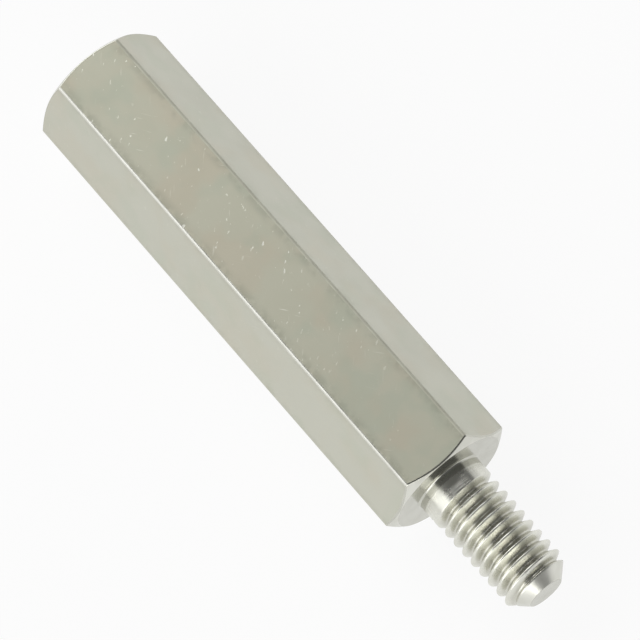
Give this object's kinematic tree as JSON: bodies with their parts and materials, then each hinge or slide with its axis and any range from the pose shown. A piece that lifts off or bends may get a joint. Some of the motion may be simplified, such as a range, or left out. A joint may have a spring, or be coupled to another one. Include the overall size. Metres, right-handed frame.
{
  "type": "hex standoff",
  "caption": "Hexagonal metal standoff with a threaded stud at one end and a tapped blind hole at the other, for holding boards and panels apart.",
  "frame": {"origin": "on the axis, in the plane of the shoulder that the stud grows from", "axes": "+X along the axis towards the stud's tip, +Z normal to one flat of the hexagon, with the opposite flat down on the floor"},
  "size_m": [0.038, 0.008, 0.007],
  "materials": {
    "nickel_plated_brass": "bright nickel plate over drawn brass bar, lightly mottled and scratched"
  },
  "bodies": {
    "root": {"standoff": "nickel_plated_brass"}
  },
  "joints": []
}
